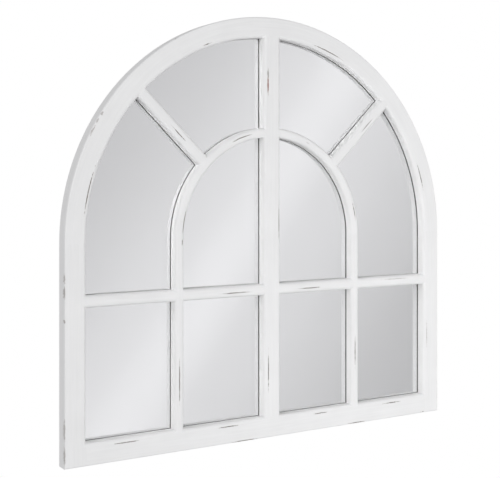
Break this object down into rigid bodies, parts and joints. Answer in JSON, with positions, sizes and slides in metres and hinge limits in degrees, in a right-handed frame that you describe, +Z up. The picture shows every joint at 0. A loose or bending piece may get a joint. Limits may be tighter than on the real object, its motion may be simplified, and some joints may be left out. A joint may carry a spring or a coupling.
{
  "type": "arched window mirror",
  "caption": "Arched wall mirror with a distressed white wooden window-pane frame: inner arch, mullion, spokes and crossbar over one glass, D-rings behind.",
  "frame": {"origin": "on the wall plane, under the middle of the bottom edge", "axes": "+Z up, +Y into the wall, +X to the viewer's right; the mirror faces -Y"},
  "size_m": [0.711, 0.027, 0.68],
  "materials": {
    "painted_wood": "white paint, brushed, rubbed through at the edges",
    "bare_beech": "unfinished",
    "mirror": "silvered behind 3 mm of clear glass",
    "hardboard": "pressed, plain",
    "zinc_steel": "bright zinc",
    "grey_rubber": "soft, matt"
  },
  "bodies": {
    "mirror": {"left_stile": "painted_wood", "right_stile": "painted_wood", "bottom_rail": "painted_wood", "left_arch": "painted_wood", "crown_arch": "painted_wood", "right_arch": "painted_wood", "centre_mullion": "painted_wood", "left_inner_leg": "painted_wood", "right_inner_leg": "painted_wood", "left_inner_arch": "painted_wood", "right_inner_arch": "painted_wood", "left_spoke": "painted_wood", "right_spoke": "painted_wood", "left_outer_transom": "painted_wood", "left_inner_transom": "painted_wood", "right_inner_transom": "painted_wood", "right_outer_transom": "painted_wood", "floating_tenons": "bare_beech", "rail_dowels": "bare_beech", "upright_dowels": "bare_beech", "transom_end_dowels": "bare_beech", "transom_leg_dowels": "bare_beech", "mullion_dowels": "bare_beech", "spoke_dowels": "bare_beech", "mirror_glass": "mirror", "backing_board": "hardboard", "backing_tabs": "zinc_steel", "left_hanger_strap": "zinc_steel", "right_hanger_strap": "zinc_steel", "hanger_screws": "zinc_steel", "wall_bumpers": "grey_rubber"},
    "left_ring": {"left_hanger_ring": "zinc_steel"},
    "right_ring": {"right_hanger_ring": "zinc_steel"}
  },
  "joints": [
    {"name": "left_ring_swing", "type": "hinge", "parent": "mirror", "child": "left_ring", "pos_m": [-0.30263, -0.00275, 0.48541], "axis": [0.8829, 0, -0.4695], "range_deg": [0, 178]},
    {"name": "right_ring_swing", "type": "hinge", "parent": "mirror", "child": "right_ring", "pos_m": [0.30263, -0.00275, 0.48541], "axis": [0.8829, 0, 0.4695], "range_deg": [0, 178]}
  ]
}
